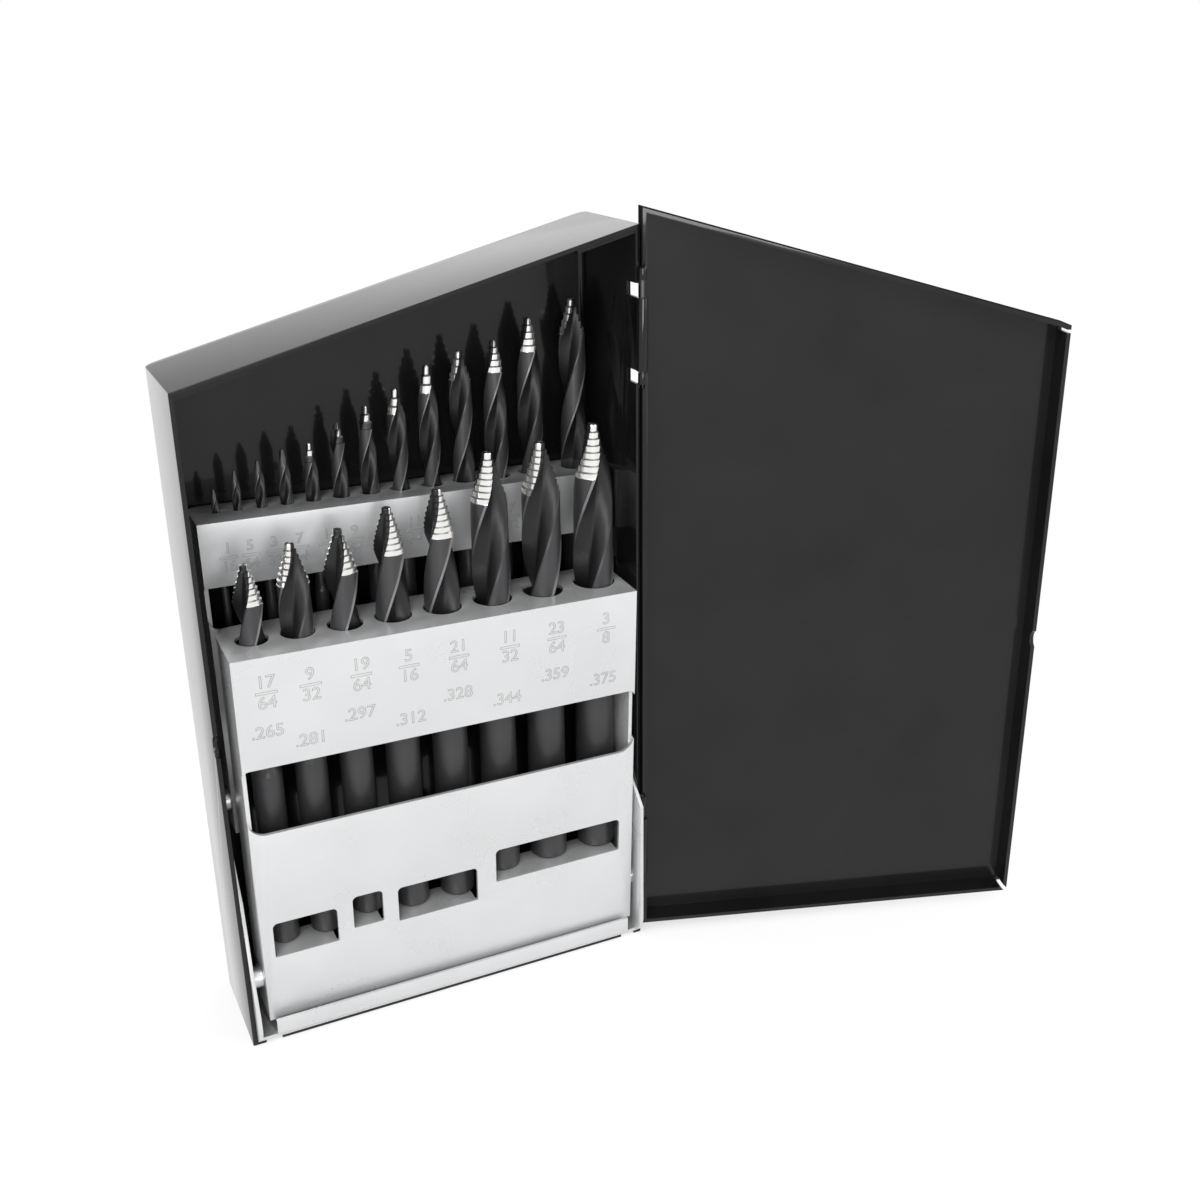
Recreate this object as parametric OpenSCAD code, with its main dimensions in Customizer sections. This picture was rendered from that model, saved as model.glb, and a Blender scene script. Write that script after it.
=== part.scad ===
// Drill bit case: a slant-topped sheet metal tray with a hinged lid, holding two tilting racks of
// step-tip twist drills. Millimetres, +Z up, origin at the middle of the tray's underside.
// The lid hinges on the +X side and the open front of the tray faces -Y.

/* [Case] */
// Width of the tray and of the lid
case_w = 101.6; // [90:0.2:115]
// Depth of the tray from front rim to back
case_d = 29.5; // [28:0.1:34]
// Height of the short side, away from the hinge
short_h = 155; // [148:0.5:162]
// Height of the tall side, at the hinge
tall_h = 182.3; // [176:0.5:190]
// Thickness of the tray's and lid's sheet
case_t = 1.0; // [0.8:0.05:1.2]
// Outer radius of the tray's upright back bends
back_bend_r = 2.3; // [1.2:0.1:3]
// Depth of the lid from rim to outer face
lid_depth = 6.8; // [6:0.1:9]

/* [Lid pose and hinge] */
// Angle the stored lid stands open
lid_open = 161.75; // [150:0.25:170]
// Height the open lid rides up on its loose hinges
lid_rise = 3.4; // [2:0.1:4]
// Gap between the closed lid's rim and the tray's rim
closing_gap = 0.9; // [0.85:0.01:1]
// Hinge axis in front of the tray's rim
hinge_front = 1.1; // [1.05:0.01:1.2]
// Hinge axis outside the tray's side
hinge_out = 0.05; // [0:0.01:0.1]
// Radius of each hinge pin
pin_r = 0.5; // [0.45:0.05:0.55]
// Running clearance round each pin
pin_gap = 0.06; // [0.02:0.01:0.08]
// Outer radius of the tray's curled tongues
curl_r = 1.3; // [1.15:0.05:1.5]
// Outer radius of the lid's knuckles
knuckle_r = 1.0; // [0.85:0.05:1.05]
// Height of each lid knuckle
knuckle_h = 2.5; // [1.5:0.1:3]
// Middle of the lower tongue above the underside, and of the upper one below the tall side's top
tongue_from_end = [27, 23.85];
// Height of each tongue
tongue_h = 16.3; // [12:0.1:17]
// Height of the window each tongue is cut from
hinge_window_h = 22.3; // [20:0.1:24]
// Depth of that window behind the rim
hinge_window_d = 4.6; // [3:0.1:6]

/* [Rack bracket] */
// Thickness of the bracket's sheet
bracket_t = 0.8; // [0.7:0.05:1]
// Gap between a bracket ear and the tray's side
ear_gap = 0.15; // [0.1:0.05:0.4]
// Height of the bracket's front lip
lip_top = 6.7; // [5.5:0.1:7.2]
// Front face of the lip ahead of the tray's rim
lip_front = 2.0; // [1.8:0.1:2.2]

/* [Racks] */
// Thickness of the racks' sheet
rack_t = 0.9; // [0.8:0.05:1]
// Forward lean of the stowed front rack
front_lean = 2.76; // [2:0.01:3]
// Front rack pivot behind the rim
front_pivot_y = 4; // [3.8:0.1:4.2]
// Front rack pivot height
front_pivot_z = 16; // [15:0.5:17]
// Front rack's sides, in from the tray's left and right sides
front_rack_side = [4.4, 3.4];
// Front rack's face ahead of its pivot
front_face_y = -5.0;
// Front rack's lower edge and top shelf from its pivot
front_rack_z = [-9.6, 83.7];
// How much shallower than the case the front rack's top shelf is
front_shelf_short = 11.2; // [11:0.1:12]
// Depth of the front rack's side flanges
front_flange_d = 12.6; // [11:0.1:14]
// Front rack hole centres behind the middle of its shelf
front_hole_shift = 0.65; // [0.4:0.05:1]
// Large window's lower and upper edge from the pivot
front_window_z = [40.7, 57.4];
// How far the large windows cut back into the racks' side bends
window_bend_cut = 1.3; // [1:0.1:2]
// Back rack pivot ahead of the case's back
back_pivot_ahead = 11.5; // [11:0.1:12]
// Back rack pivot height
back_pivot_z = 56; // [55:0.5:57]
// Back rack's sides, in from the tray's left and right sides
back_rack_side = [4.2, 2.5];
// Back rack's face ahead of the case's back
back_face_ahead = 15.4; // [15.2:0.1:15.5]
// Back rack's lower edge and top shelf
back_rack_z = [49, 123.6];
// Depth of the back rack's top shelf
back_shelf_d = 13.8; // [13:0.1:14]
// Depth of the back rack's side flanges
back_flange_d = 10.5; // [9:0.1:12]
// Back rack hole centres behind its face
back_hole_y = 7.8; // [7.6:0.1:8]
// Back rack's face begins above its side flanges' feet, at this height
back_face_low = 66; // [64:0.5:70]
// Back rack's window, lower and upper edge
back_window_z = [99.4, 109.2];
// Back rack's ledge heights
back_ledge_z = [86, 72];
// Clearance of each hole round its bit, on diameter
hole_play = 0.4; // [0.3:0.05:0.6]
// Radius of a pivot rivet's shank
rivet_r = 1.5; // [1.2:0.1:2]
// Radius of a pivot rivet's head and spacer
rivet_head_r = 2.6; // [2.2:0.1:3]
// Running clearance round a rivet
rivet_gap = 0.05; // [0.02:0.01:0.08]

/* [Drill bits] */
// Middles of the first and last front bits, in from the tray's left and right sides
front_end_x = [11.09, 10.11];
// Growth of the gap between front bits at each step to the right
front_gap_growth = 0.15; // [0:0.01:0.2]
// Middles of the first and last back bits, in from the tray's left and right sides
back_end_x = [9.64, 7.0];
// How much wider the gap beside the last back bit is
back_last_gap = 2.0; // [0:0.1:2.2]
// How far the front bits lean back from the front rack's face
bit_lean = 1.9; // [0:0.1:2.2]
// Tip heights of the front bits above the front pivot
front_tip_z = [100.7, 104.0, 105.6, 108.9, 111.6, 118.4, 119.2, 122.0];
// Heights of the short and tall sides that the back bits' tip heights are given for
tips_given_for = [155, 182.3];
// Tip heights of the back bits above the case's underside
back_tip_z = [128.8, 132.3, 133.9, 135.8, 136.4, 140.4, 143.4, 146.6, 151.2, 153.8, 155.5, 160.0, 163.5];
// Share of a bit's length that is plain shank
shank_share = 0.46; // [0.35:0.01:0.5]
// Direction each tip's land faces, anticlockwise from +X, for bits 4 to 24 in 64ths
tip_turn = [-60, -70, -80, -70, -74, -24, -49, -102, -77, -132, -54, -66, -149,
    -19, -127, -15, -36, -45, -102, -133, -94];
// Helix length of one turn in bit diameters
helix_pitch = 8.5; // [7:0.1:10]
// Steps ground on each tip
tip_steps = 5; // [3:1:7]
// Length of the stepped tip in bit diameters
tip_len = 1.2; // [0.9:0.05:1.4]

/* [Hidden] */
$fn = 48;
slope = (tall_h - short_h) / case_w;
roof_t = case_t * sqrt(1 + slope * slope);
hinge_x = case_w + hinge_out;
hinge_y = -hinge_front;
inch = 25.4;
ear_left = case_t + ear_gap;
ear_right = case_w - case_t - ear_gap - bracket_t;
pin_hole_r = pin_r + pin_gap;
tongue_z = [tongue_from_end[0], tall_h - tongue_from_end[1]];
front_rack_x = [front_rack_side[0], case_w - front_rack_side[1]];
front_shelf_d = case_d - front_shelf_short;
front_hole_y = front_shelf_d / 2 + front_hole_shift;
back_pivot_y = case_d - back_pivot_ahead;
back_rack_x = [back_rack_side[0], case_w - back_rack_side[1]];
back_face_y = case_d - back_face_ahead;
// Tongue heights seen from the lid once it has dropped flush
window_low = tongue_h / 2 + lid_rise + 0.4;
window_high = tongue_h / 2 + lid_rise + 0.5;
// Front rack windows: first bit, reach to its left, last bit, reach to its right, lower edge and
// upper edge from the pivot
small_windows = [
    [17, 3.9, 18, 1.1, 7.7, 16.9],
    [19, 5.6, 19, 1.6, 10.0, 18.6],
    [20, 5.7, 21, 2.7, 8.6, 17.9],
    [22, 4.5, 24, 3.1, 12.3, 21.4]
];
front_window_of = [0, 0, 1, 2, 2, 3, 3, 3];
// Back rack ledges: first bit, reach to its left, last bit, reach to its right
back_ledges = [
    [4, 3.0, 6, 2.5],
    [7, 2.0, 16, 3.1]
];
back_ledge_of = [0, 0, 0, 1, 1, 1, 1, 1, 1, 1, 1, 1, 1];
// How far a shank stands clear of the ledge it rests on
rest_gap = 0.02;
// A leaning shank touches the ledge's back edge first, so its middle stands this much higher
front_foot_lift = 0.07;

function bit_d(i) = i * inch / 64;
// Distance between the middles of bits a and b if they stood side by side without a gap
function packed(a, b) = (b - a) * (a + b) / 2 * inch / 64;
front_gap = (case_w - front_end_x[0] - front_end_x[1] - packed(17, 24)) / 7 - 3 * front_gap_growth;
back_gap = (case_w - back_end_x[0] - back_end_x[1] - packed(4, 16) - back_last_gap) / 12;
function front_x(i) = front_end_x[0] + packed(17, i) + (i - 17) * front_gap
    + front_gap_growth * (i - 17) * (i - 18) / 2;
function back_x(i) = back_end_x[0] + packed(4, i) + (i - 4) * back_gap + (i == 16 ? back_last_gap : 0);
// How far the back bits' tips move with the slanted roof
function roof_shift(x) = (short_h - tips_given_for[0]) * (1 - x / case_w)
    + (tall_h - tips_given_for[1]) * x / case_w;

// Solid with the case's slanted side view, shrunk by inset and lying between two depths
module slant_block(inset, y_front, y_back) {
    top = inset * sqrt(1 + slope * slope);
    translate([0, y_back, 0])
    rotate([90, 0, 0])
    linear_extrude(height = y_back - y_front)
    polygon([
        [inset, inset],
        [case_w - inset, inset],
        [case_w - inset, tall_h - slope * inset - top],
        [inset, short_h + slope * inset - top]
    ]);
}

// Upright block whose two back edges are rounded
module back_rounded(inset, r, y_back) {
    x0 = inset;
    x1 = case_w - inset;
    y1 = y_back - inset;
    translate([0, 0, -1])
    linear_extrude(height = tall_h + 2)
    union() {
        translate([x0, -20])
            square([x1 - x0, y1 + 20 - r]);
        translate([x0 + r, -20])
            square([x1 - x0 - 2 * r, y1 + 20]);
        translate([x0 + r, y1 - r])
            circle(r);
        translate([x1 - r, y1 - r])
            circle(r);
    }
}

// Folded tab welded under the roof at one front corner
module roof_tab(x0, x1) {
    z0 = short_h + slope * x0 - roof_t;
    z1 = short_h + slope * x1 - roof_t;
    translate([0, 12, 0])
    rotate([90, 0, 0])
    linear_extrude(height = 11.4)
    polygon([[x0, z0 + 0.05], [x0, z0 - 0.9], [x1, z1 - 0.9], [x1, z1 + 0.05]]);
}

module tray() {
    color([0.06, 0.06, 0.065])
    translate([-case_w / 2, -case_d / 2, 0])
    difference() {
        union() {
            difference() {
                intersection() {
                    slant_block(0, 0, case_d);
                    back_rounded(0, back_bend_r, case_d);
                }
                intersection() {
                    slant_block(case_t, -1, case_d - case_t);
                    back_rounded(case_t, back_bend_r - case_t, case_d);
                }
                for (z = tongue_z)
                    translate([case_w - case_t - 1, -1, z - hinge_window_h / 2])
                        cube([case_t + 2, hinge_window_d + 1, hinge_window_h]);
                // Relief notches in the floor beside the two front corners
                translate([3.1, -1, -1])
                    cube([3.7, 3.5, case_t + 1.5]);
                translate([case_w - 5.7, -1, -1])
                    cube([3.7, 3.5, case_t + 1.5]);
                // Finger notch in the free side's rim
                translate([-1, -1.2, short_h / 2 + 1])
                rotate([0, 90, 0])
                    cylinder(r = 3, h = case_t + 2);
            }
            roof_tab(case_t - 0.1, 16);
            roof_tab(case_w - 14.6, case_w - case_t + 0.1);
            // Tongues curled round the hinge pins
            for (z = tongue_z) {
                translate([case_w - case_t, -0.4, z - tongue_h / 2])
                    cube([case_t, hinge_window_d + 0.6, tongue_h]);
                translate([hinge_x, hinge_y, z - tongue_h / 2])
                    cylinder(r = curl_r, h = tongue_h);
            }
        }
        for (z = tongue_z)
            translate([hinge_x, hinge_y, z - tongue_h / 2 - 1])
                cylinder(r = pin_hole_r, h = tongue_h + 2);
    }
}

// Lid shut flush on the tray, before it is swung open and raised
module shut_lid() {
    rim = -closing_gap;
    face = rim - lid_depth;
    difference() {
        union() {
            difference() {
                slant_block(0, face, rim);
                slant_block(case_t, face + case_t, rim + 1);
                // Windows that let the tray's tongues through
                for (z = tongue_z)
                    translate([case_w - case_t - 1, rim - 3.4, z - window_low])
                        cube([case_t + 2, 4, window_low + window_high - lid_rise]);
                // Open corners between the free side's flanges
                translate([0, rim + 1, 0])
                rotate([90, 0, 0])
                rotate([0, 0, 45])
                translate([-3, -0.5, 0])
                    cube([6, 1.0, lid_depth - case_t + 0.4]);
                translate([-1, face + case_t + 0.6, short_h - roof_t - 0.8])
                    cube([case_t + 1.6, lid_depth, 0.8]);
                // Finger notch in the free side's rim
                translate([-1, rim + 1.4, short_h / 2 - 2.2])
                rotate([0, 90, 0])
                    cylinder(r = 2.6, h = case_t + 2);
            }
            for (z = tongue_z)
                for (low = [z - window_low - knuckle_h, z + window_high - lid_rise])
                    translate([hinge_x, hinge_y, low])
                        cylinder(r = knuckle_r, h = knuckle_h);
        }
        for (z = tongue_z)
            translate([hinge_x, hinge_y, z - window_low - knuckle_h - 1])
                cylinder(r = pin_hole_r, h = window_low + window_high + 2 * knuckle_h + 2 - lid_rise);
    }
}

module lid() {
    color([0.07, 0.07, 0.075])
    translate([hinge_x - case_w / 2, hinge_y - case_d / 2, lid_rise])
    rotate([0, 0, lid_open])
    translate([-hinge_x, -hinge_y, 0])
        shut_lid();
}

module hinge_pins() {
    color([0.5, 0.5, 0.52])
    for (z = tongue_z)
        translate([hinge_x - case_w / 2, hinge_y - case_d / 2, z - window_low - knuckle_h + lid_rise])
            cylinder(r = pin_r, h = window_low + window_high + 2 * knuckle_h - lid_rise);
}

// Front edges of the left and right ears, from the floor up
left_ear_front = [[0.5, case_t], [-0.9, 1.6], [-1.9, 2.4], [-2.9, 3.6], [-3.6, 5.0], [-4.0, 6.6],
    [-3.9, 9.5], [-2.6, 14], [-0.9, 20], [0.6, 30], [1.8, 38], [6.0, 45.2]];
right_ear_front = [[0.5, case_t], [-0.9, 1.6], [-1.9, 2.4], [-2.9, 3.6], [-3.6, 5.0], [-4.0, 6.6],
    [-4.0, back_pivot_z - 15.8]];

// One side ear of the bracket, with holes for the two pivots
module bracket_ear(x, front_edge) {
    back_edge = case_d - case_t - 1;
    translate([x, 0, 0])
    rotate([90, 0, 90])
    difference() {
        linear_extrude(height = bracket_t)
        polygon(concat(front_edge, [
            [back_pivot_y - 7, back_pivot_z - 0.8], [back_pivot_y - 5, back_pivot_z + 5],
            [back_pivot_y + 5, back_pivot_z + 5], [back_edge, back_pivot_z - 6], [back_edge, case_t]
        ]));
        translate([front_pivot_y, front_pivot_z, -1])
            cylinder(r = rivet_r, h = bracket_t + 2);
        translate([back_pivot_y, back_pivot_z, -1])
            cylinder(r = rivet_r, h = bracket_t + 2);
    }
}

module rack_bracket() {
    lip_x0 = 5.6;
    lip_x1 = case_w - 4.7;
    color([0.74, 0.75, 0.76])
    translate([-case_w / 2, -case_d / 2, 0])
    union() {
        bracket_ear(ear_left, left_ear_front);
        bracket_ear(ear_right, right_ear_front);
        translate([ear_left, -0.3, case_t])
            cube([ear_right + bracket_t - ear_left, case_d - case_t - 0.7, bracket_t]);
        // Lip rolled up at the front, clear above the floor flange of the shut lid
        translate([lip_x0, 0, 0])
        rotate([90, 0, 90])
        linear_extrude(height = lip_x1 - lip_x0)
        polygon([
            [1.2, case_t + bracket_t], [1.2, case_t + 0.1], [-0.1, case_t + 0.2], [-0.9, 1.8],
            [-1.6, 2.5], [-lip_front, 3.3], [-lip_front, lip_top],
            [bracket_t - lip_front, lip_top], [bracket_t - lip_front, 3.7], [-0.6, 2.85],
            [0.1, case_t + bracket_t + 0.3]
        ]);
    }
}

// Shoulder rivets of one rack: spacer, shank through the flange, inner head
module pivot_rivets(y, z, rack_x) {
    color([0.66, 0.67, 0.68])
    translate([-case_w / 2, y - case_d / 2, z])
    rotate([0, 90, 0])
    union() {
        translate([0, 0, ear_left])
            cylinder(r = rivet_r, h = rack_x[0] + rack_t + 0.6 - ear_left);
        translate([0, 0, ear_left + bracket_t])
            cylinder(r = rivet_head_r, h = rack_x[0] - 0.1 - ear_left - bracket_t);
        translate([0, 0, rack_x[0] + rack_t + 0.1])
            cylinder(r = rivet_head_r, h = 0.8);
        translate([0, 0, rack_x[1] - rack_t - 0.6])
            cylinder(r = rivet_r, h = ear_right + bracket_t - rack_x[1] + rack_t + 0.6);
        translate([0, 0, rack_x[1] + 0.1])
            cylinder(r = rivet_head_r, h = ear_right - rack_x[1] - 0.1);
        translate([0, 0, rack_x[1] - rack_t - 0.9])
            cylinder(r = rivet_head_r, h = 0.8);
    }
}

module front_pivot_rivets() {
    pivot_rivets(front_pivot_y, front_pivot_z, front_rack_x);
}

module back_pivot_rivets() {
    pivot_rivets(back_pivot_y, back_pivot_z, back_rack_x);
}

// Top shelf of a rack with rounded back corners
module shelf(x, y0, depth, z_top, r) {
    translate([0, 0, z_top - rack_t])
    linear_extrude(height = rack_t)
    union() {
        translate([x[0], y0])
            square([x[1] - x[0], depth - r]);
        translate([x[0] + r, y0])
            square([x[1] - x[0] - 2 * r, depth]);
        translate([x[0] + r, y0 + depth - r])
            circle(r);
        translate([x[1] - r, y0 + depth - r])
            circle(r);
    }
}

// Window through a rack's face, cut from y0 by deep, with its lower and upper corner radii
module face_window(x0, x1, z0, z1, y0, deep, r_low, r_high) {
    translate([0, y0 + deep, 0])
    rotate([90, 0, 0])
    linear_extrude(height = deep)
    union() {
        translate([x0, z0 + r_low])
            square([x1 - x0, z1 - z0 - r_low - r_high]);
        translate([x0 + r_low, z0])
            square([x1 - x0 - 2 * r_low, r_low + 0.1]);
        translate([x0 + r_high, z1 - r_high - 0.1])
            square([x1 - x0 - 2 * r_high, r_high + 0.1]);
        translate([x0 + r_low, z0 + r_low])
            circle(r_low);
        translate([x1 - r_low, z0 + r_low])
            circle(r_low);
        translate([x0 + r_high, z1 - r_high])
            circle(r_high);
        translate([x1 - r_high, z1 - r_high])
            circle(r_high);
    }
}

// Front rack upright about its pivot, before it leans
module front_rack_shape() {
    x0 = front_rack_x[0];
    x1 = front_rack_x[1];
    z0 = front_rack_z[0];
    z1 = front_rack_z[1];
    difference() {
        union() {
            translate([x0, front_face_y, z0])
                cube([x1 - x0, rack_t, z1 - z0 - 0.2]);
            shelf(front_rack_x, front_face_y, front_shelf_d, z1, 5);
            translate([x0, front_face_y, z0])
                cube([rack_t, front_flange_d, z1 - z0 - 0.2]);
            translate([x1 - rack_t, front_face_y, z0])
                cube([rack_t, front_flange_d, z1 - z0 - 0.2]);
            // Guide plate folded in from the large window's upper edge
            translate([x0 + 2.7, front_face_y, front_window_z[1]])
                cube([x1 - x0 - 5.2, front_shelf_d - 2.9, rack_t]);
        }
        face_window(x0 - 0.05, x1 + 0.05, front_window_z[0], front_window_z[1],
            front_face_y - 1, window_bend_cut + 1, 4, 1.5);
        for (w = small_windows)
            face_window(front_x(w[0]) - w[1], front_x(w[2]) + w[3], w[4], w[5],
                front_face_y - 1, rack_t + 2, 0.3, 1.2);
        for (i = [17 : 24])
            translate([front_x(i), front_face_y + front_hole_y, z1])
            rotate([-bit_lean, 0, 0])
            translate([0, 0, front_window_z[1] - z1 - 1])
                cylinder(d = bit_d(i) + hole_play, h = z1);
        rotate([0, 90, 0])
            cylinder(r = rivet_r + rivet_gap, h = case_w);
    }
    // Ledges folded in from the small windows
    for (w = small_windows)
        translate([front_x(w[0]) - w[1] + 0.4, front_face_y + 0.05, w[4] - rack_t])
            cube([front_x(w[2]) + w[3] - front_x(w[0]) + w[1] - 0.8, front_hole_y - 0.8, rack_t]);
}

module front_rack() {
    color([0.80, 0.81, 0.82])
    translate([-case_w / 2, front_pivot_y - case_d / 2, front_pivot_z])
    rotate([front_lean, 0, 0])
        front_rack_shape();
}

module back_rack() {
    x0 = back_rack_x[0];
    x1 = back_rack_x[1];
    z0 = back_rack_z[0];
    z1 = back_rack_z[1];
    color([0.74, 0.75, 0.76])
    translate([-case_w / 2, -case_d / 2, 0])
    union() {
        difference() {
            union() {
                translate([x0, back_face_y, back_face_low])
                    cube([x1 - x0, rack_t, z1 - back_face_low - 0.2]);
                shelf(back_rack_x, back_face_y, back_shelf_d, z1, 3);
                translate([x0, back_face_y, z0])
                    cube([rack_t, back_flange_d, z1 - z0 - 0.2]);
                translate([x1 - rack_t, back_face_y, z0])
                    cube([rack_t, back_flange_d, z1 - z0 - 0.2]);
                // Guide plate folded in from the window's upper edge
                translate([x0 + 2.4, back_face_y, back_window_z[1]])
                    cube([x1 - x0 - 4.8, 12.4, rack_t]);
            }
            face_window(x0 - 0.05, x1 + 0.05, back_window_z[0], back_window_z[1],
                back_face_y - 1, window_bend_cut + 1, 2.5, 0.8);
            // Windows whose metal is folded in as the two ledges
            for (k = [0, 1])
                face_window(back_x(back_ledges[k][0]) - back_ledges[k][1],
                    back_x(back_ledges[k][2]) + back_ledges[k][3], back_ledge_z[k],
                    back_ledge_z[k] + 10.5, back_face_y - 1, rack_t + 2, 0.3, 1);
            for (i = [4 : 16])
                translate([back_x(i), back_face_y + back_hole_y, back_window_z[1] - 1])
                    cylinder(d = bit_d(i) + hole_play, h = z1);
            translate([0, back_pivot_y, back_pivot_z])
            rotate([0, 90, 0])
                cylinder(r = rivet_r + rivet_gap, h = case_w);
        }
        for (k = [0, 1])
            translate([back_x(back_ledges[k][0]) - back_ledges[k][1] + 0.4, back_face_y + 0.05,
                back_ledge_z[k] - rack_t])
                cube([back_x(back_ledges[k][2]) + back_ledges[k][3] - back_x(back_ledges[k][0])
                    + back_ledges[k][1] - 0.8, 10.3, rack_t]);
    }
}

// Angles and reaches of a two-flute section; the middle of one land is at angle 0
section_turn = [-47, -16, 16, 47, 56, 88, 118];
section_reach = [0.94, 0.96, 0.96, 0.98, 0.60, 0.37, 0.60];
section_count = 14;

function section_angle(k) = k < 7 ? section_turn[k] : section_turn[k - 7] + 180;
function ring_turn(d, length, z, tip_turn) = tip_turn - 360 * (length - z) / (helix_pitch * d);
function ring_point(d, length, ring, k, tip_turn) =
    let(r = min(d / 2 * section_reach[k % 7], ring[1]),
        a = section_angle(k) + ring_turn(d, length, ring[0], tip_turn))
    [r * cos(a), r * sin(a), ring[0]];
// Every ring is its height and the most its points may reach
function fluted_rings(z0, z1, count, r) = [for (j = [0 : count]) [z0 + (z1 - z0) * j / count, r]];
function step_rings(z0, cone, r) = [
    for (k = [0 : tip_steps - 1]) for (end = [0.05, 0.9])
        [z0 + cone * (k + end) / (tip_steps + 0.6), r * (1 - 0.82 * (k + 0.75) / tip_steps)]
];

// The fluted part and stepped tip as one closed body
module fluted_tip(d, length, z_start, tip_turn) {
    r = d / 2;
    cone = tip_len * d;
    cone_start = length - cone;
    count = ceil((cone_start - z_start) / (helix_pitch * d) * 16);
    rings = concat(fluted_rings(z_start, cone_start, count, r), step_rings(cone_start, cone, r),
        [[length, r * 0.13]]);
    last = len(rings) - 1;
    n = section_count;
    points = [for (ring = rings) for (k = [0 : n - 1]) ring_point(d, length, ring, k, tip_turn)];
    sides = [for (j = [0 : last - 1]) for (k = [0 : n - 1]) for (half = [0, 1])
        half == 0 ? [j * n + k, (j + 1) * n + k, (j + 1) * n + (k + 1) % n]
                  : [j * n + k, (j + 1) * n + (k + 1) % n, j * n + (k + 1) % n]];
    foot = [for (k = [0 : n - 1]) k];
    peak = [for (k = [0 : n - 1]) last * n + n - 1 - k];
    polyhedron(points = points, faces = concat([foot], sides, [peak]), convexity = 6);
}

// A bit standing on its shank's end at the origin
module drill_bit(d, length, tip_turn) {
    shank = length * shank_share;
    union() {
        cylinder(r = d / 2, h = shank);
        fluted_tip(d, length, shank - 0.5, tip_turn);
    }
}

// A front bit's axis passes through the middle of its hole in the top shelf
module front_bit(i) {
    ledge = small_windows[front_window_of[i - 17]][4] + rest_gap + front_foot_lift;
    shelf_z = front_rack_z[1];
    color([0.10, 0.10, 0.105])
    translate([-case_w / 2, front_pivot_y - case_d / 2, front_pivot_z])
    rotate([front_lean, 0, 0])
    translate([front_x(i), front_face_y + front_hole_y, shelf_z])
    rotate([-bit_lean, 0, 0])
    translate([0, 0, (ledge - shelf_z) / cos(bit_lean)])
        drill_bit(bit_d(i), (front_tip_z[i - 17] - ledge) / cos(bit_lean), tip_turn[i - 4]);
}

module back_bit(i) {
    ledge = back_ledge_z[back_ledge_of[i - 4]] + rest_gap;
    color([0.10, 0.10, 0.105])
    translate([back_x(i) - case_w / 2, back_face_y + back_hole_y - case_d / 2, ledge])
        drill_bit(bit_d(i), back_tip_z[i - 4] + roof_shift(back_x(i)) - ledge, tip_turn[i - 4]);
}

tray();
lid();
hinge_pins();
rack_bracket();
front_rack();
back_rack();
front_pivot_rivets();
back_pivot_rivets();
back_bit(4);  // bit_04_64
back_bit(5);  // bit_05_64
back_bit(6);  // bit_06_64
back_bit(7);  // bit_07_64
back_bit(8);  // bit_08_64
back_bit(9);  // bit_09_64
back_bit(10);  // bit_10_64
back_bit(11);  // bit_11_64
back_bit(12);  // bit_12_64
back_bit(13);  // bit_13_64
back_bit(14);  // bit_14_64
back_bit(15);  // bit_15_64
back_bit(16);  // bit_16_64
front_bit(17);  // bit_17_64
front_bit(18);  // bit_18_64
front_bit(19);  // bit_19_64
front_bit(20);  // bit_20_64
front_bit(21);  // bit_21_64
front_bit(22);  // bit_22_64
front_bit(23);  // bit_23_64
front_bit(24);  // bit_24_64
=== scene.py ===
import math
import bmesh
import bpy
from mathutils import Matrix, Vector


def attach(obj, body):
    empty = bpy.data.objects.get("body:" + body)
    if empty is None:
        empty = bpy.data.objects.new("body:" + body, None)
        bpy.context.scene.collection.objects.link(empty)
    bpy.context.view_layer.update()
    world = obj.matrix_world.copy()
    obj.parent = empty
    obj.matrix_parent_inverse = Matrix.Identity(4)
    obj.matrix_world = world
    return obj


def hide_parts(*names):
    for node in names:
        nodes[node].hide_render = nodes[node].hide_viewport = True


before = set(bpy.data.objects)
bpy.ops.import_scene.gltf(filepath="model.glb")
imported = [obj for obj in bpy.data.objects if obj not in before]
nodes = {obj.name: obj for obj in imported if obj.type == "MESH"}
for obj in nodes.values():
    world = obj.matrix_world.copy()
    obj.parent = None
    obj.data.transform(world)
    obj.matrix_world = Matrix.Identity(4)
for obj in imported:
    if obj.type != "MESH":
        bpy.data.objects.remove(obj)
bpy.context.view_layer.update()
mm = 0.001

# Sizes shared with the solid model, in millimetres. The case's origin is the tray's left front
# floor corner; the front rack's own origin is the axis of its pivots.
inch = 25.4
case_w, case_d, short_h, tall_h = 101.6, 29.5, 155, 182.3
lid_open, lid_rise = 161.75, 3.4
hinge_out, hinge_front = 0.05, 1.1
front_pivot_y, front_pivot_z = 4.0, 16.0
front_lean, bit_lean = math.radians(2.76), math.radians(1.9)
front_face_y, front_hole_y, front_shelf_z = -5.0, 9.8, 83.7
back_face_y, back_hole_y = 14.1, 7.8
# Bits are numbered by their size in 64ths of an inch
front_first, front_last = 17, 24
back_first, back_last = 4, 16
FRONT_BITS = range(front_first, front_last + 1)
BACK_BITS = range(back_first, back_last + 1)
# Distance of a row's outer bits from the case's sides, and how its gaps differ: each front gap is
# wider than the one before it, and the last back gap is wider than the others
front_end_x, front_gap_growth = (11.09, 10.11), 0.15
back_end_x, back_last_gap = (9.64, 7.0), 2.0
rest_gap, foot_lift = 0.02, 0.07
front_ledge_z = [7.7, 7.7, 10.0, 8.6, 8.6, 12.3, 12.3, 12.3]
front_tip_z = [100.7, 104.0, 105.6, 108.9, 111.6, 118.4, 119.2, 122.0]
back_ledge_z = [86] * 3 + [72] * 10
back_tip_z = [128.8, 132.3, 133.9, 135.8, 136.4, 140.4, 143.4, 146.6, 151.2, 153.8, 155.5,
              160.0, 163.5]
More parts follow.
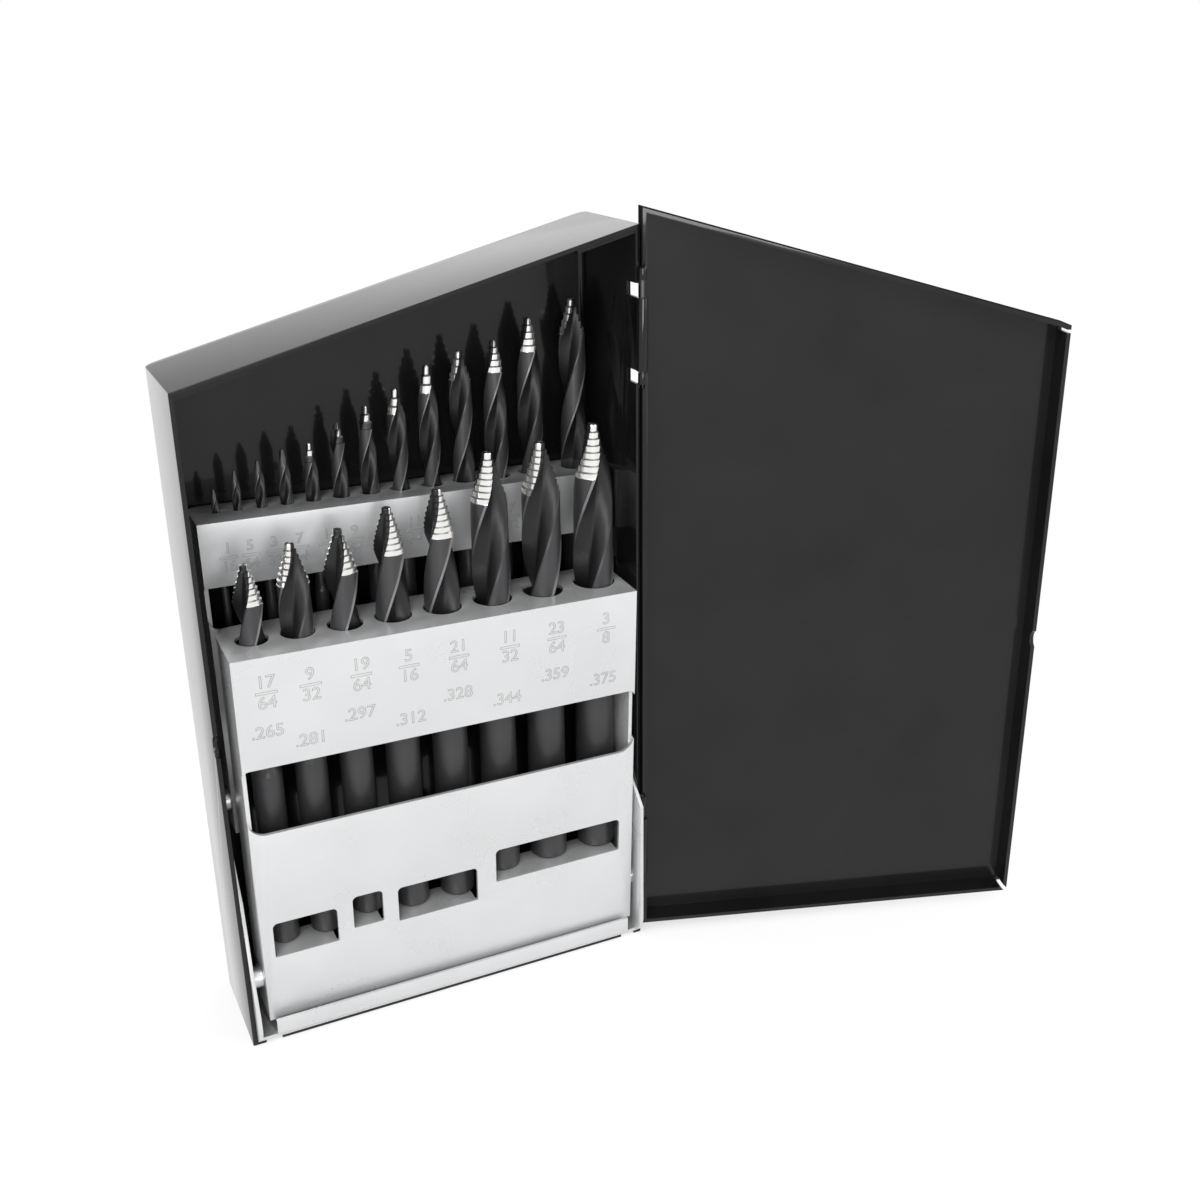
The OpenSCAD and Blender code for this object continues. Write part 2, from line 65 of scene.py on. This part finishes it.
# Share of a bit's length that stays plain; the rest in bit diameters
shank_share, run_out_start, run_out_len = 0.46, 0.15, 1.5
helix_pitch, tip_len, foot_chamfer = 8.5, 1.25, 0.06
# Blunt end of a tip and depth of a flute as shares of the bit's radius
pilot_share, flute_depth = 0.24, 0.70


def case_point(x, y, z):
    """A place in the case's millimetres as a place in the scene."""
    return Vector(((x - case_w / 2) * mm, (y - case_d / 2) * mm, z * mm))


def bit_width(i):
    return i * inch / 64


def packed(a, b):
    """Distance between the middles of bits a and b if they stood side by side without a gap."""
    return (b - a) * (a + b) / 2 * inch / 64


def bit_places():
    """Middle of every bit across the case."""
    # The front gaps grow by 3 steps of growth on average
    front_gap = ((case_w - sum(front_end_x) - packed(front_first, front_last))
                 / (front_last - front_first) - 3 * front_gap_growth)
    back_gap = ((case_w - sum(back_end_x) - packed(back_first, back_last) - back_last_gap)
                / (back_last - back_first))
    at = {}
    for i in FRONT_BITS:
        k = i - front_first
        at[i] = (front_end_x[0] + packed(front_first, i) + k * front_gap
                 + front_gap_growth * k * (k - 1) / 2)
    for i in BACK_BITS:
        at[i] = (back_end_x[0] + packed(back_first, i) + (i - back_first) * back_gap
                 + (back_last_gap if i == back_last else 0))
    return at


BIT_X = bit_places()
RACK_PLACE = (Matrix.Translation(case_point(case_w / 2, front_pivot_y, front_pivot_z))
              @ Matrix.Rotation(front_lean, 4, "X"))


# ---------------------------------------------------------------- camera
def photo_camera():
    """The camera fitted to the photograph's straight edges and holes. It looks along +Y, turned
    by heading about the upright, down by look_down, and tipped sideways by roll."""
    frame_px, focal_px = 1200, 1387.12
    middle_x, middle_y = 674.44, 628.20
    spot = case_point(-37.97, -278.52, 215.73)
    heading, look_down, roll = (math.radians(angle) for angle in (-28.143, 22.386, 0.527))
    cam = bpy.data.cameras.new("photo_camera")
    cam.sensor_width = 36
    cam.lens = focal_px / frame_px * cam.sensor_width
    cam.shift_x = (frame_px / 2 - middle_x) / frame_px
    cam.shift_y = (middle_y - frame_px / 2) / frame_px
    cam.clip_start, cam.clip_end = 0.01, 20
    obj = bpy.data.objects.new("photo_camera", cam)
    obj.matrix_world = (Matrix.Translation(spot) @ Matrix.Rotation(heading, 4, "Z")
                        @ Matrix.Rotation(math.pi / 2 - look_down, 4, "X")
                        @ Matrix.Rotation(roll, 4, "Z"))
    bpy.context.scene.collection.objects.link(obj)
    bpy.context.scene.camera = obj


# ---------------------------------------------------------------- materials
def add_node(tree, kind, operation=None, **inputs):
    """A new node with some of its inputs set; an underscore in a name stands for a space."""
    node = tree.nodes.new(kind)
    if operation:
        node.operation = operation
    for name, value in inputs.items():
        node.inputs[name.replace("_", " ")].default_value = value
    return node


def grain_group():
    """Fine surface grain: a bump height and a mask that wanders over the surface."""
    g = bpy.data.node_groups.new("sheet_grain", "ShaderNodeTree")
    for name, way, kind in (("Scale", "INPUT", "Float"), ("Stretch", "INPUT", "Vector"),
                            ("Height", "OUTPUT", "Float"), ("Mask", "OUTPUT", "Float")):
        g.interface.new_socket(name, in_out=way, socket_type=f"NodeSocket{kind}")
    start, end = g.nodes.new("NodeGroupInput"), g.nodes.new("NodeGroupOutput")
    coord = add_node(g, "ShaderNodeTexCoord")
    size = add_node(g, "ShaderNodeVectorMath", "MULTIPLY")
    fine = add_node(g, "ShaderNodeTexNoise", Detail=3)
    broad = add_node(g, "ShaderNodeTexNoise", Scale=45, Detail=4)
    link = g.links.new
    link(coord.outputs["Object"], size.inputs[0])
    link(start.outputs["Stretch"], size.inputs[1])
    link(size.outputs[0], fine.inputs["Vector"])
    link(start.outputs["Scale"], fine.inputs["Scale"])
    link(size.outputs[0], broad.inputs["Vector"])
    link(fine.outputs["Fac"], end.inputs["Height"])
    link(broad.outputs["Fac"], end.inputs["Mask"])
    return g


GRAIN = grain_group()


def coated(name, dark, light, rough, metallic=0.0, grain=900.0, stretch=(1, 1, 1), bump=0.05,
           coat=0.0, ior=1.5, coat_rough=0.1):
    """A finish whose colour and roughness wander a little, with a fine grain."""
    m = bpy.data.materials.new(name)
    m.use_nodes = True
    tree = m.node_tree
    link = tree.links.new
    bsdf = tree.nodes["Principled BSDF"]
    for socket, value in (("Metallic", metallic), ("IOR", ior), ("Coat Weight", coat),
                          ("Coat Roughness", coat_rough), ("Coat IOR", 1.3)):
        bsdf.inputs[socket].default_value = value
    g = tree.nodes.new("ShaderNodeGroup")
    g.node_tree = GRAIN
    g.inputs["Scale"].default_value = grain
    g.inputs["Stretch"].default_value = stretch
    ramp = add_node(tree, "ShaderNodeValToRGB")
    for stop, position, colour in zip(ramp.color_ramp.elements, (0.3, 0.7), (dark, light)):
        stop.position = position
        stop.color = (*colour, 1)
    link(g.outputs["Mask"], ramp.inputs["Fac"])
    link(ramp.outputs["Color"], bsdf.inputs["Base Color"])
    span = add_node(tree, "ShaderNodeMapRange", To_Min=rough[0], To_Max=rough[1])
    link(g.outputs["Mask"], span.inputs["Value"])
    link(span.outputs["Result"], bsdf.inputs["Roughness"])
    relief = add_node(tree, "ShaderNodeBump", Strength=bump, Distance=0.2 * mm)
    link(g.outputs["Height"], relief.inputs["Height"])
    link(relief.outputs["Normal"], bsdf.inputs["Normal"])
    return m


ENAMEL = coated("black_case_enamel", (0.004, 0.004, 0.0045), (0.007, 0.007, 0.0075),
                (0.16, 0.24), grain=700, bump=0.05, coat=0.8, ior=1.25, coat_rough=0.06)
ZINC = coated("bright_zinc_plate", (0.52, 0.525, 0.53), (0.56, 0.565, 0.57), (0.24, 0.32),
              metallic=0.55, grain=1500, bump=0.03)
# The back rack's zinc is painted darker than the front rack's: painted shade and dark reflection
# for where it sits, behind the front rack and among the bits.
BACK_ZINC_SHADE = coated("zinc_plate_painted_shade", (0.36, 0.365, 0.37), (0.41, 0.415, 0.42), (0.28, 0.36),
                   metallic=0.55, grain=1500, bump=0.03)
# Darker zinc for the raised outlines of the stamped sizes: painted shade for the dark sides of the
# embossed strokes.
STAMP_SHADE_ZINC = coated("stamped_edge_painted_shade", (0.20, 0.205, 0.21), (0.27, 0.275, 0.28), (0.35, 0.45),
               metallic=0.5, grain=1500, bump=0.03)
# Enamel with no reflection at all (IOR 1, no coat) for the faces next to the hinge: painted shade
# for the shaded wedge between lid and tray.
HINGE_SHADE_ENAMEL = coated("case_enamel_painted_shade", (0.014, 0.014, 0.0145), (0.02, 0.02, 0.0205), (0.55, 0.65),
              grain=700, bump=0.05, ior=1.0)
RIVET = coated("rivet_zinc", (0.55, 0.56, 0.58), (0.68, 0.69, 0.71), (0.28, 0.40), metallic=0.95)
PIN = coated("hinge_wire", (0.05, 0.05, 0.055), (0.12, 0.12, 0.125), (0.35, 0.5), metallic=0.6)
OXIDE = coated("bit_black_oxide", (0.014, 0.014, 0.015), (0.024, 0.024, 0.026), (0.34, 0.46),
               grain=1200, bump=0.08)
# Black oxide painted darker for the flutes: the oxide is real, the extra darkness is painted shade
# inside the flutes.
FLUTE_SHADE_OXIDE = coated("flute_oxide_painted_shade", (0.005, 0.005, 0.0055), (0.010, 0.010, 0.011), (0.36, 0.46),
               grain=1200, bump=0.08, ior=1.38)
# Lighter metal for the margins: a painted highlight for the light line where each margin catches
# the light.
MARGIN_HIGHLIGHT_METAL = coated("margin_painted_highlight", (0.10, 0.10, 0.105), (0.20, 0.20, 0.20), (0.28, 0.4),
                metallic=0.6, grain=1500, bump=0.05)
GROUND = coated("ground_step_steel", (0.74, 0.73, 0.71), (0.86, 0.86, 0.84), (0.16, 0.26),
                metallic=0.9, grain=2500, stretch=(1, 1, 0.15), bump=0.05)


# ---------------------------------------------------------------- bits
# Half of a two-flute section: degrees anticlockwise from about the land's middle, and reach as a
# share of the radius. The other half is the same, turned round.
HALF_SECTION = [(-34, 0.93), (-28, 0.965), (-10, 0.972), (12, 0.972), (31, 0.975), (33, 1.0),
                (41, 1.0), (43, 0.86), (47, 0.68), (54, 0.50), (64, 0.38), (78, 0.31),
                (92, 0.30), (106, 0.35), (118, 0.46), (128, 0.60), (136, 0.75), (142, 0.87)]
# The margin is the narrow strip between these two angles that reaches the full radius; points
# round the bit are less than section_step degrees apart
margin_start, margin_end, section_step = 33, 41, 9
# Heights of the rows in a step's wall as shares of the step, the rest being its sloping ledge,
# and the height at which the step is as wide as the plain cone
wall_rows, step_level = (0.03, 0.42, 0.82), 0.7
# Material slots of a bit; the flutes' oxide carries painted shade and the margins carry a painted
# highlight
BIT_FINISHES = (OXIDE, GROUND, MARGIN_HIGHLIGHT_METAL, FLUTE_SHADE_OXIDE)
PLAIN, BRIGHT, PAINTED_HIGHLIGHT_SLOT, PAINTED_SHADE_SLOT = range(4)


def flute_section():
    """Angle, reach and kind of every point round the bit: land, margin or flute."""
    corners = [(a + half, reach, a) for half in (0, 180) for a, reach in HALF_SECTION]
    full = []
    for k, (a, reach, own) in enumerate(corners):
        b, next_reach, _ = corners[(k + 1) % len(corners)]
        if b < a:
            b += 360
        kind = "land" if own < margin_start else "margin" if own < margin_end else "flute"
        parts = int((b - a) / section_step) + 1
        for e in range(parts):
            t = e / parts
            full.append((a + (b - a) * t, reach + (next_reach - reach) * t, kind))
    return full


SECTION = flute_section()


def bit_rings(d, length, tip_turn, steps):
    """Rows of points from a bit's foot to its tip, with the rows at which the full flutes and
    the tip start."""
    r = d / 2
    flute_start = length * shank_share + run_out_start * d
    run_out = run_out_len * d
    cone = tip_len * d
    cone_start = length - cone
    pitch = helix_pitch * d
    pilot = pilot_share * r
    # Rows that would fall on one height stay a little apart
    seam, collar = 0.01, 0.1
    run_out_rows, point_rows, rings_per_turn = 10, 6, 60
    rings = []

    def ring(z, limit, cutter=1.0):
        """One row of points; cutter is how far the flutes have run in, from 0 to 1."""
        turn = tip_turn - 360 * (length - max(z, flute_start)) / pitch
        row = []
        for a, reach, _ in SECTION:
            got = min(r * max(reach, 1 - flute_depth * cutter), limit)
            w = math.radians(a + turn)
            row.append(Vector((got * math.cos(w), got * math.sin(w), z)))
        rings.append(row)

    chamfer = foot_chamfer * d
    ring(0, r - chamfer, 0)
    ring(chamfer, r, 0)
    ring(flute_start - collar, r, 0)
    for k in range(run_out_rows):
        t = k / (run_out_rows - 1)
        ring(flute_start + run_out * t, r, 1 - (1 - t) ** 2)
    full_from = len(rings)
    z = flute_start + run_out
    count = max(2, int((cone_start - z) / pitch * rings_per_turn))
    for k in range(1, count + 1):
        ring(z + (cone_start - 2 * seam - z) * k / count, r)
    tip_from = len(rings)
    if steps:
        # Each step is a short wall, then a narrow sloping ledge up to the next one
        step_h = cone / steps
        for k in range(steps):
            wide = r + (pilot - r) * (k + step_level) / steps
            for t in wall_rows:
                ring(cone_start + step_h * (k + t), wide)
        ring(length - seam, pilot)
    else:
        for k in range(1, point_rows + 1):
            ring(cone_start + cone * k / point_rows - seam, r + (pilot - r) * k / point_rows)
    return rings, full_from, tip_from


def twist_bit(name, d, length, tip_turn, steps, bright):
    """A stepped twist drill that stands on its shank's end at the origin."""
    rings, full_from, tip_from = bit_rings(d, length, tip_turn, steps)
    # The bright steps are the ones next to the tip's end
    bright_from = len(rings) - 1 - len(wall_rows) * bright
    n = len(SECTION)
    bm = bmesh.new()
    rows = [[bm.verts.new(p * mm) for p in row] for row in rings]
    for j in range(1, len(rows)):
        for i, (_, _, kind) in enumerate(SECTION):
            nxt = (i + 1) % n
            face = bm.faces.new((rows[j - 1][i], rows[j - 1][nxt], rows[j][nxt], rows[j][i]))
            # Flute faces take the oxide with painted shade.
            if j >= tip_from:
                ground = bright and kind != "flute" and j >= bright_from
                face.material_index = BRIGHT if ground else PAINTED_SHADE_SLOT if kind == "flute" else PLAIN
            # Margins take the metal with the painted highlight.
            elif j > full_from and kind != "land":
                face.material_index = PAINTED_HIGHLIGHT_SLOT if kind == "margin" else PAINTED_SHADE_SLOT
    foot = bm.faces.new(list(reversed(rows[0])))
    peak = bm.verts.new(Vector((0, 0, length)) * mm)
    for i, (_, _, kind) in enumerate(SECTION):
        cap = bm.faces.new((rows[-1][i], rows[-1][(i + 1) % n], peak))
        cap.material_index = BRIGHT if bright and kind != "flute" else PAINTED_SHADE_SLOT
    for f in bm.faces:
        f.smooth = True
    foot.smooth = False
    bm.normal_update()
    crease = math.radians(24)
    for e in bm.edges:
        if len(e.link_faces) == 2 and e.calc_face_angle(0) > crease:
            e.smooth = False
    mesh = bpy.data.meshes.new(name)
    bm.to_mesh(mesh)
    bm.free()
    for material in BIT_FINISHES:
        mesh.materials.append(material)
    obj = bpy.data.objects.new(name, mesh)
    bpy.context.scene.collection.objects.link(obj)
    return obj


# Direction each tip's land faces, degrees anticlockwise from +X seen from above
TIP_TURN = {17: -19, 18: -127, 19: -15, 20: -36, 21: -45, 22: -102, 23: -133, 24: -94,
            4: -60, 5: -70, 6: -80, 7: -70, 8: -74, 9: -24, 10: -49, 11: -102, 12: -77,
            13: -132, 14: -54, 15: -66, 16: -149}
# Steps of every tip, and how many of them are ground bright
TIP_STEPS = {**dict.fromkeys(range(4, 8), (0, 0)), **dict.fromkeys(range(8, 11), (3, 2)),
             11: (3, 3), 12: (3, 3), 13: (4, 4), **dict.fromkeys(range(14, 17), (5, 5)),
             **dict.fromkeys(range(17, 20), (7, 7)), **dict.fromkeys(range(20, 25), (8, 8))}


def front_place(i):
    """Where a front bit stands, along its leaning hole, and its length."""
    low = front_ledge_z[i - front_first] + rest_gap + foot_lift
    slope = math.cos(bit_lean)
    hole = Vector((BIT_X[i] - case_w / 2, front_face_y + front_hole_y, front_shelf_z))
    place = (RACK_PLACE @ Matrix.Translation(hole * mm) @ Matrix.Rotation(-bit_lean, 4, "X")
             @ Matrix.Translation(Vector((0, 0, (low - front_shelf_z) / slope)) * mm))
    return place, (front_tip_z[i - front_first] - low) / slope


def back_place(i):
    """Where a back bit stands, upright, and its length."""
    low = back_ledge_z[i - back_first] + rest_gap
    place = Matrix.Translation(case_point(BIT_X[i], back_face_y + back_hole_y, low))
    return place, back_tip_z[i - back_first] - low


def make_bits():
    for i in [*BACK_BITS, *FRONT_BITS]:
        node = f"bit_{i:02d}_64"
        place, length = front_place(i) if i in FRONT_BITS else back_place(i)
        bit = twist_bit(f"dressed_{node}", bit_width(i), length, TIP_TURN[i], *TIP_STEPS[i])
        bit.matrix_world = place
        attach(bit, f"bit_{i:02d}")
        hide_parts(node)


# ---------------------------------------------------------------- sheet metal
def on_side(face, point, outward):
    """Whether a face lies on the flat side through a point with the given outward direction."""
    least_cosine, most_off = 0.99, 0.3 * mm
    off = (face.calc_center_median() - point).dot(outward)
    return face.normal.dot(outward) > least_cosine and abs(off) < most_off


def softened(node, body, material, width, shaded_sides=()):
    """A copy of a folded sheet part with its cut edges eased by width, and its shaded sides, each
    a point and an outward direction, given an enamel without reflection as painted shade."""
    mesh = nodes[node].data.copy()
    mesh.name = f"folded_{node}"
    bm = bmesh.new()
    bm.from_mesh(mesh)
    bmesh.ops.remove_doubles(bm, verts=bm.verts, dist=0.002 * mm)
    bmesh.ops.dissolve_limit(bm, angle_limit=math.radians(1.0), verts=bm.verts, edges=bm.edges)
    bm.normal_update()
    for f in bm.faces:
        f.smooth = True
        f.material_index = 1 if any(on_side(f, *side) for side in shaded_sides) else 0
    for e in bm.edges:
        e.smooth = True
    mesh.materials.clear()
    mesh.materials.append(material)
    if shaded_sides:
        mesh.materials.append(HINGE_SHADE_ENAMEL)
    bm.to_mesh(mesh)
    bm.free()
    obj = bpy.data.objects.new(f"folded_{node}", mesh)
    bpy.context.scene.collection.objects.link(obj)
    bevel = obj.modifiers.new("eased_edges", "BEVEL")
    bevel.width = width * mm
    bevel.segments = 3
    bevel.limit_method = "ANGLE"
    bevel.angle_limit = math.radians(35)
    bevel.harden_normals = True
    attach(obj, body)
    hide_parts(node)


def make_sheet_parts():
    hinge = case_point(case_w + hinge_out, -hinge_front, tall_h)
    raised = hinge + Vector((0, 0, lid_rise)) * mm
    swing = Matrix.Rotation(math.radians(lid_open), 3, "Z")
    out = Vector((1, 0, 0))
    roof = Vector((-(tall_h - short_h) / case_w, 0, 1)).normalized()
    case_edge, rack_edge, bracket_edge = 0.14, 0.22, 0.2
    # These sides next to the hinge take the enamel with painted shade.
    lid_sides = [(hinge, swing @ out), (raised, swing @ roof)]
    softened("tray", "case", ENAMEL, case_edge, [(hinge, out)])
    softened("lid", "lid", ENAMEL, case_edge, lid_sides)
    softened("front_rack", "front_rack", ZINC, rack_edge)
    # The back rack wears the zinc with painted shade.
    softened("back_rack", "back_rack", BACK_ZINC_SHADE, rack_edge)
    softened("rack_bracket", "case", ZINC, bracket_edge)


def finish_small_nodes():
    for name, material in (("front_pivot_rivets", RIVET), ("back_pivot_rivets", RIVET),
                           ("hinge_pins", PIN)):
        for slot in nodes[name].material_slots:
            slot.material = material


# ---------------------------------------------------------------- stamped sizes
def bar_outline(width, tall):
    """Flat rectangle outline for a fraction's bar, drawn in its own plane."""
    curve = bpy.data.curves.new("bar", "CURVE")
    curve.dimensions = "2D"
    line = curve.splines.new("POLY")
    line.points.add(3)
    for point, (sx, sy) in zip(line.points, ((-1, -1), (1, -1), (1, 1), (-1, 1))):
        point.co = (sx * width / 2 * mm, sy * tall / 2 * mm, 0, 1)
    line.use_cyclic_u = True
    return curve


def number_outline(words, height):
    """Outline of a number whose digits are height tall, drawn in its own plane."""
    size_per_height = 1.38
    curve = bpy.data.curves.new("number", "FONT")
    curve.body = words
    curve.align_x = "CENTER"
    curve.align_y = "CENTER"
    curve.size = height * size_per_height * mm
    curve.resolution_u = 5
    return curve


def stamped(marks, place, name, body):
    """Raised outlines on a rack's face, in darker zinc as painted shade on the strokes' sides.
    Each mark is words or None for a bar, x, z and size.
    """
    bar_tall, outline_r = 0.55, 0.06
    upright = Matrix.Rotation(math.radians(90), 4, "X")
    pieces = []
    for words, x, z, size in marks:
        curve = number_outline(words, size) if words else bar_outline(size, bar_tall)
        curve.fill_mode = "NONE"
        curve.bevel_depth = outline_r * mm
        curve.bevel_resolution = 1
        obj = bpy.data.objects.new("mark", curve)
        obj.matrix_world = place @ Matrix.Translation(Vector((x, 0, z)) * mm) @ upright
        bpy.context.scene.collection.objects.link(obj)
        pieces.append(obj)
    bpy.context.view_layer.update()
    graph = bpy.context.evaluated_depsgraph_get()
    joined = bmesh.new()
    for obj in pieces:
        shape = bpy.data.meshes.new_from_object(obj.evaluated_get(graph))
        shape.transform(obj.matrix_world)
        joined.from_mesh(shape)
        bpy.data.meshes.remove(shape)
    for obj in pieces:
        bpy.data.objects.remove(obj)
    mesh = bpy.data.meshes.new(name)
    joined.to_mesh(mesh)
    joined.free()
    mesh.materials.clear()
    mesh.materials.append(STAMP_SHADE_ZINC)
    done = bpy.data.objects.new(name, mesh)
    bpy.context.scene.collection.objects.link(done)
    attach(done, body)


def fraction(top, bottom, x, z, height, bar):
    """Marks of a fraction; z holds the heights of the top number, the bottom one and the bar."""
    return [(str(top), x, z[0], height), (str(bottom), x, z[1], height), (None, x, z[2], bar)]


def make_numbers():
    half = case_w / 2
    # Fractions' places across the case, then the decimals' places and numbers
    fractions = [(17, 64, 11.2), (9, 32, 20.6), (19, 64, 31.6), (5, 16, 42.3), (21, 64, 53.9),
                 (11, 32, 66.1), (23, 64, 77.7), (3, 8, 90.3)]
    decimals = [(".265", 10.7), (".281", 19.7), (".297", 30.7), (".312", 42.1),
                (".328", 53.3), (".344", 65.1), (".359", 77.2), (".375", 89.6)]
    digit_h, front_bar = 3.0, 4.6
    front_z = [z - front_pivot_z for z in (93.9, 89.0, 91.4)]
    decimal_z = [z - front_pivot_z for z in (82.1, 78.3)]
    front = []
    for top, bottom, x in fractions:
        front += fraction(top, bottom, x - half, front_z, digit_h, front_bar)
    for k, (word, x) in enumerate(decimals):
        front.append((word, x - half, decimal_z[k % 2], digit_h))
    place = RACK_PLACE @ Matrix.Translation(Vector((0, front_face_y, 0)) * mm)
    stamped(front, place, "front_rack_size_numbers", "front_rack")

    small_h, back_bar, back_shift = 2.4, 3.6, 0.3
    back_z = (117.6, 113.5, 115.55)
    back = []
    for i in BACK_BITS:
        shared = math.gcd(i, 64)
        back += fraction(i // shared, 64 // shared, BIT_X[i] + back_shift - half, back_z,
                         small_h, back_bar)
    place = Matrix.Translation(case_point(case_w / 2, back_face_y, 0))
    stamped(back, place, "back_rack_size_numbers", "back_rack")


# ---------------------------------------------------------------- studio
def white_room():
    """A white world: plain white where it is seen or mirrored, a little softer as a light."""
    world = bpy.data.worlds.new("white_room")
    bpy.context.scene.world = world
    world.use_nodes = True
    tree = world.node_tree
    tree.nodes.clear()
    link = tree.links.new
    out = add_node(tree, "ShaderNodeOutputWorld")
    mix = add_node(tree, "ShaderNodeMixShader")
    soft = add_node(tree, "ShaderNodeBackground", Color=(1, 1, 1, 1), Strength=0.85)
    seen = add_node(tree, "ShaderNodeBackground", Color=(1, 1, 1, 1), Strength=1.0)
    path = add_node(tree, "ShaderNodeLightPath")
    both = add_node(tree, "ShaderNodeMath", "MAXIMUM")
    link(path.outputs["Is Camera Ray"], both.inputs[0])
    link(path.outputs["Is Glossy Ray"], both.inputs[1])
    link(both.outputs[0], mix.inputs["Fac"])
    link(soft.outputs[0], mix.inputs[1])
    link(seen.outputs[0], mix.inputs[2])
    link(mix.outputs[0], out.inputs["Surface"])


def pale_floor():
    """A pale floor that keeps a soft shadow by the case and fades to plain white around it."""
    half, drop = 3.0, -0.2 * mm
    mesh = bpy.data.meshes.new("studio_floor")
    mesh.from_pydata([(x * half, y * half, drop) for x, y in ((-1, -1), (1, -1), (1, 1), (-1, 1))],
                     [], [(0, 1, 2, 3)])
    floor = bpy.data.objects.new("studio_floor", mesh)
    bpy.context.scene.collection.objects.link(floor)
    m = bpy.data.materials.new("pale_floor")
    m.use_nodes = True
    tree = m.node_tree
    link = tree.links.new
    bsdf = tree.nodes["Principled BSDF"]
    bsdf.inputs["Base Color"].default_value = (0.93, 0.93, 0.93, 1)
    bsdf.inputs["Roughness"].default_value = 0.9
    glow = add_node(tree, "ShaderNodeEmission")
    mix = add_node(tree, "ShaderNodeMixShader")
    path = add_node(tree, "ShaderNodeLightPath")
    coord = add_node(tree, "ShaderNodeTexCoord")
    reach = add_node(tree, "ShaderNodeVectorMath", "LENGTH")
    fade = add_node(tree, "ShaderNodeMapRange", From_Min=0.08, From_Max=0.22, To_Min=0.6)
    amount = add_node(tree, "ShaderNodeMath", "MULTIPLY_ADD")
    link(coord.outputs["Object"], reach.inputs[0])
    link(reach.outputs["Value"], fade.inputs["Value"])
    link(path.outputs["Is Camera Ray"], amount.inputs[0])
    link(fade.outputs["Result"], amount.inputs[1])
    link(path.outputs["Is Glossy Ray"], amount.inputs[2])
    link(amount.outputs[0], mix.inputs["Fac"])
    link(bsdf.outputs[0], mix.inputs[1])
    link(glow.outputs[0], mix.inputs[2])
    link(mix.outputs[0], tree.nodes["Material Output"].inputs["Surface"])
    mesh.materials.append(m)


def soft_lamp(name, at, toward, size, power):
    """A square area lamp; places and size in metres, power in watts."""
    lamp = bpy.data.lights.new(name, "AREA")
    lamp.shape = "SQUARE"
    lamp.size = size
    lamp.energy = power
    obj = bpy.data.objects.new(name, lamp)
    obj.location = at
    obj.rotation_mode = "QUATERNION"
    obj.rotation_quaternion = (Vector(toward) - Vector(at)).to_track_quat("-Z", "Y")
    bpy.context.scene.collection.objects.link(obj)


photo_camera()
white_room()
pale_floor()
soft_lamp("key_lamp", (-0.55, -0.75, 0.9), (0, 0, 0.08), 0.5, 9)
soft_lamp("fill_lamp", (0.8, -0.6, 0.5), (0, 0, 0.1), 0.6, 3)
soft_lamp("front_lamp", (-0.25, -0.95, 0.22), (0, 0, 0.08), 0.35, 4)
make_bits()
make_sheet_parts()
finish_small_nodes()
make_numbers()
bpy.context.scene.view_settings.view_transform = "Standard"
